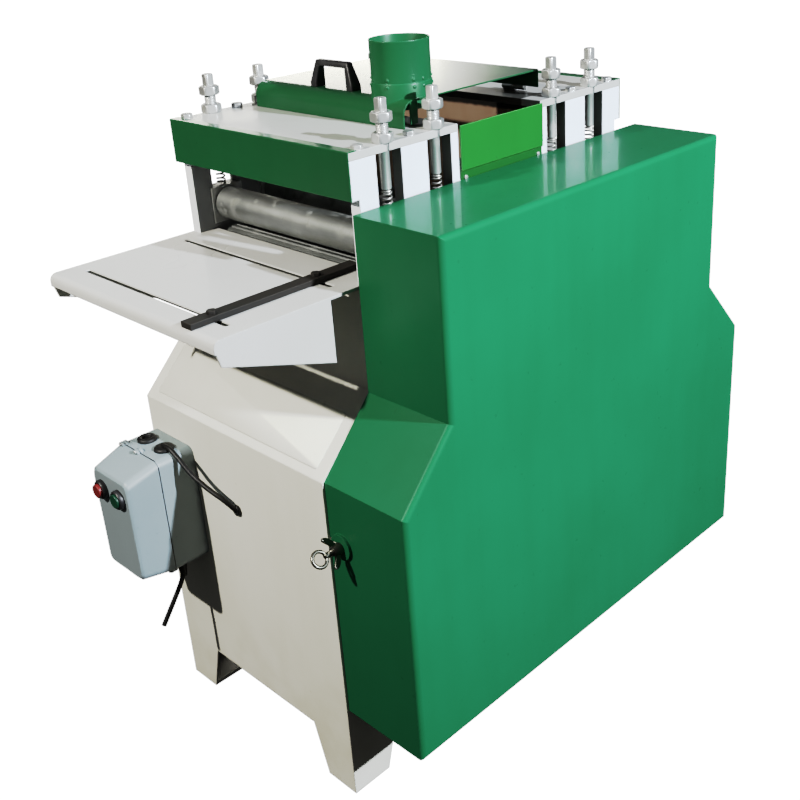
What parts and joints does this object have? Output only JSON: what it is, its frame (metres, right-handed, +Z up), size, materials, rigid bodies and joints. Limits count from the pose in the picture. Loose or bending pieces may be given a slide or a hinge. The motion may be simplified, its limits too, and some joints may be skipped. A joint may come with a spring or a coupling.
{
  "type": "multi-rip saw",
  "caption": "Free-standing multi-rip saw: roller-fed blades on one arbor under a hinged dust hood, with infeed and outfeed tables, a rip fence, a side belt guard and a starter box.",
  "frame": {"origin": "on the floor, midway across the machine's full width and midway between the two table ends", "axes": "+X to the belt-guard side, +Y along the feed from the infeed to the outfeed table, +Z up"},
  "size_m": [0.677, 1.194, 1.255],
  "materials": {
    "cabinet_paint": "cream enamel, satin",
    "frame_paint": "off-white enamel",
    "plate_paint": "pale grey gloss enamel",
    "table_paint": "light grey enamel",
    "cover_green": "dark green gloss enamel",
    "side_green": "bright green enamel",
    "guard_green": "emerald green gloss enamel",
    "machined_steel": "turned steel",
    "zinc_steel": "zinc plated",
    "blade_steel": "ground steel",
    "spring_steel": "oiled spring wire",
    "cast_grey": "machined castings",
    "chain_steel": "oiled steel",
    "rusty_steel": "primed steel with brown dust",
    "motor_paint": "grey-blue enamel",
    "black_steel": "black finish",
    "starter_casting": "silver-grey hammered enamel",
    "black_plastic": "gloss",
    "red_plastic": "gloss",
    "green_plastic": "gloss",
    "black_rubber": "matt"
  },
  "bodies": {
    "machine": {"base_cabinet": "cabinet_paint", "access_hatch": "cabinet_paint", "side_plate_right": "frame_paint", "side_plate_left": "frame_paint", "top_plates": "plate_paint", "infeed_table": "table_paint", "outfeed_table": "table_paint", "end_covers": "cover_green", "side_covers": "side_green", "bed_plate": "machined_steel", "top_plate_bolts": "zinc_steel", "pressure_screws": "zinc_steel", "pressure_screw_nuts": "zinc_steel", "fixed_hinge_leaves": "zinc_steel", "eye_bolt": "zinc_steel", "pressure_springs_1": "spring_steel", "pressure_springs_2": "spring_steel", "pressure_springs_3": "spring_steel", "pressure_springs_4": "spring_steel", "shaft_bearings": "cast_grey", "feed_chains": "chain_steel", "tie_plates": "rusty_steel", "main_motor": "motor_paint", "feed_gear_motor": "motor_paint", "starter_base": "starter_casting", "starter_cover": "starter_casting", "button_bezels": "black_plastic", "drive_belts": "black_rubber", "cable_grommets": "black_rubber", "motor_cable": "black_rubber", "supply_tail": "black_rubber"},
    "press_float_1": {"pressure_blocks_1": "cast_grey"},
    "press_roller_1": {"pressure_roller_1": "machined_steel"},
    "feed_roll_1": {"feed_roller_1": "machined_steel"},
    "press_float_2": {"pressure_blocks_2": "cast_grey"},
    "press_roller_2": {"pressure_roller_2": "machined_steel"},
    "feed_roll_2": {"feed_roller_2": "machined_steel"},
    "press_float_3": {"pressure_blocks_3": "cast_grey"},
    "press_roller_3": {"pressure_roller_3": "machined_steel"},
    "feed_roll_3": {"feed_roller_3": "machined_steel"},
    "press_float_4": {"pressure_blocks_4": "cast_grey"},
    "press_roller_4": {"pressure_roller_4": "machined_steel"},
    "feed_roll_4": {"feed_roller_4": "machined_steel"},
    "feed_drive": {"feed_drive_sprocket": "chain_steel"},
    "arbor": {"saw_arbor": "machined_steel", "saw_blades": "blade_steel", "blade_spacers": "machined_steel", "arbor_pulley": "cast_grey"},
    "motor_drive": {"motor_pulley": "cast_grey"},
    "hood": {"hood_cover": "cover_green", "dust_port": "cover_green", "hood_handle": "black_plastic", "hood_hinge_leaves": "zinc_steel"},
    "guard": {"belt_guard": "guard_green", "guard_hinge_leaves": "zinc_steel"},
    "latch_nut": {"wing_nut": "zinc_steel"},
    "fence": {"fence_bar": "black_steel", "fence_bolts": "black_steel"},
    "stop": {"stop_button": "red_plastic"},
    "start": {"start_button": "green_plastic"}
  },
  "joints": [
    {"name": "belt_guard_hinge", "type": "hinge", "parent": "machine", "child": "guard", "pos_m": [0.15965, 0.4918, 0.27], "axis": [0, 0, 1], "range_deg": [0, 100]},
    {"name": "latch_nut_spin", "type": "hinge", "parent": "machine", "child": "latch_nut", "pos_m": [0.189, -0.454, 0.53], "axis": [0, -1, 0], "continuous": true},
    {"name": "hood_hinge", "type": "hinge", "parent": "machine", "child": "hood", "pos_m": [0, 0.158, 1.132], "axis": [-1, 0, 0], "range_deg": [0, 80]},
    {"name": "pressure_float_1", "type": "slide", "parent": "machine", "child": "press_float_1", "axis": [0, 0, 1], "range_m": [0, 0.02], "stiffness_N_per_m": 12000, "springref_m": -0.008, "deforming": ["pressure_springs_1"]},
    {"name": "pressure_roller_spin_1", "type": "hinge", "parent": "press_float_1", "child": "press_roller_1", "pos_m": [-0.0735, -0.253, 0.965], "axis": [1, 0, 0], "continuous": true},
    {"name": "pressure_float_2", "type": "slide", "parent": "machine", "child": "press_float_2", "axis": [0, 0, 1], "range_m": [0, 0.02], "stiffness_N_per_m": 12000, "springref_m": -0.008, "deforming": ["pressure_springs_2"]},
    {"name": "pressure_roller_spin_2", "type": "hinge", "parent": "press_float_2", "child": "press_roller_2", "pos_m": [-0.0735, -0.145, 0.965], "axis": [1, 0, 0], "continuous": true},
    {"name": "pressure_float_3", "type": "slide", "parent": "machine", "child": "press_float_3", "axis": [0, 0, 1], "range_m": [0, 0.02], "stiffness_N_per_m": 12000, "springref_m": -0.008, "deforming": ["pressure_springs_3"]},
    {"name": "pressure_roller_spin_3", "type": "hinge", "parent": "press_float_3", "child": "press_roller_3", "pos_m": [-0.0735, 0.145, 0.965], "axis": [1, 0, 0], "continuous": true},
    {"name": "pressure_float_4", "type": "slide", "parent": "machine", "child": "press_float_4", "axis": [0, 0, 1], "range_m": [0, 0.02], "stiffness_N_per_m": 12000, "springref_m": -0.008, "deforming": ["pressure_springs_4"]},
    {"name": "pressure_roller_spin_4", "type": "hinge", "parent": "press_float_4", "child": "press_roller_4", "pos_m": [-0.0735, 0.253, 0.965], "axis": [1, 0, 0], "continuous": true},
    {"name": "feed_roller_spin_1", "type": "hinge", "parent": "machine", "child": "feed_roll_1", "pos_m": [-0.0735, -0.253, 0.895], "axis": [1, 0, 0], "continuous": true},
    {"name": "feed_roller_spin_2", "type": "hinge", "parent": "machine", "child": "feed_roll_2", "pos_m": [-0.0735, -0.145, 0.895], "axis": [1, 0, 0], "continuous": true},
    {"name": "feed_roller_spin_3", "type": "hinge", "parent": "machine", "child": "feed_roll_3", "pos_m": [-0.0735, 0.145, 0.895], "axis": [1, 0, 0], "continuous": true},
    {"name": "feed_roller_spin_4", "type": "hinge", "parent": "machine", "child": "feed_roll_4", "pos_m": [-0.0735, 0.253, 0.895], "axis": [1, 0, 0], "continuous": true},
    {"name": "feed_drive_spin", "type": "hinge", "parent": "machine", "child": "feed_drive", "pos_m": [0.206, 0, 0.62], "axis": [1, 0, 0], "continuous": true},
    {"name": "saw_arbor_spin", "type": "hinge", "parent": "machine", "child": "arbor", "pos_m": [-0.0735, 0, 0.862], "axis": [1, 0, 0], "continuous": true},
    {"name": "motor_spin", "type": "hinge", "parent": "machine", "child": "motor_drive", "pos_m": [0.25, 0.02, 0.31], "axis": [1, 0, 0], "continuous": true},
    {"name": "fence_slide", "type": "slide", "parent": "machine", "child": "fence", "axis": [1, 0, 0], "range_m": [-0.345, 0.03]},
    {"name": "stop_press", "type": "slide", "parent": "machine", "child": "stop", "axis": [0, 1, 0], "range_m": [0, 0.005], "stiffness_N_per_m": 900},
    {"name": "start_press", "type": "slide", "parent": "machine", "child": "start", "axis": [0, 1, 0], "range_m": [0, 0.004], "stiffness_N_per_m": 900}
  ],
  "couplings": [
    {"joint": "feed_roller_spin_1", "follows": "feed_roller_spin_2", "ratio": 1},
    {"joint": "feed_roller_spin_3", "follows": "feed_roller_spin_2", "ratio": 1},
    {"joint": "feed_roller_spin_4", "follows": "feed_roller_spin_2", "ratio": 1},
    {"joint": "feed_drive_spin", "follows": "feed_roller_spin_2", "ratio": 1},
    {"joint": "motor_spin", "follows": "saw_arbor_spin", "ratio": 0.7284}
  ]
}
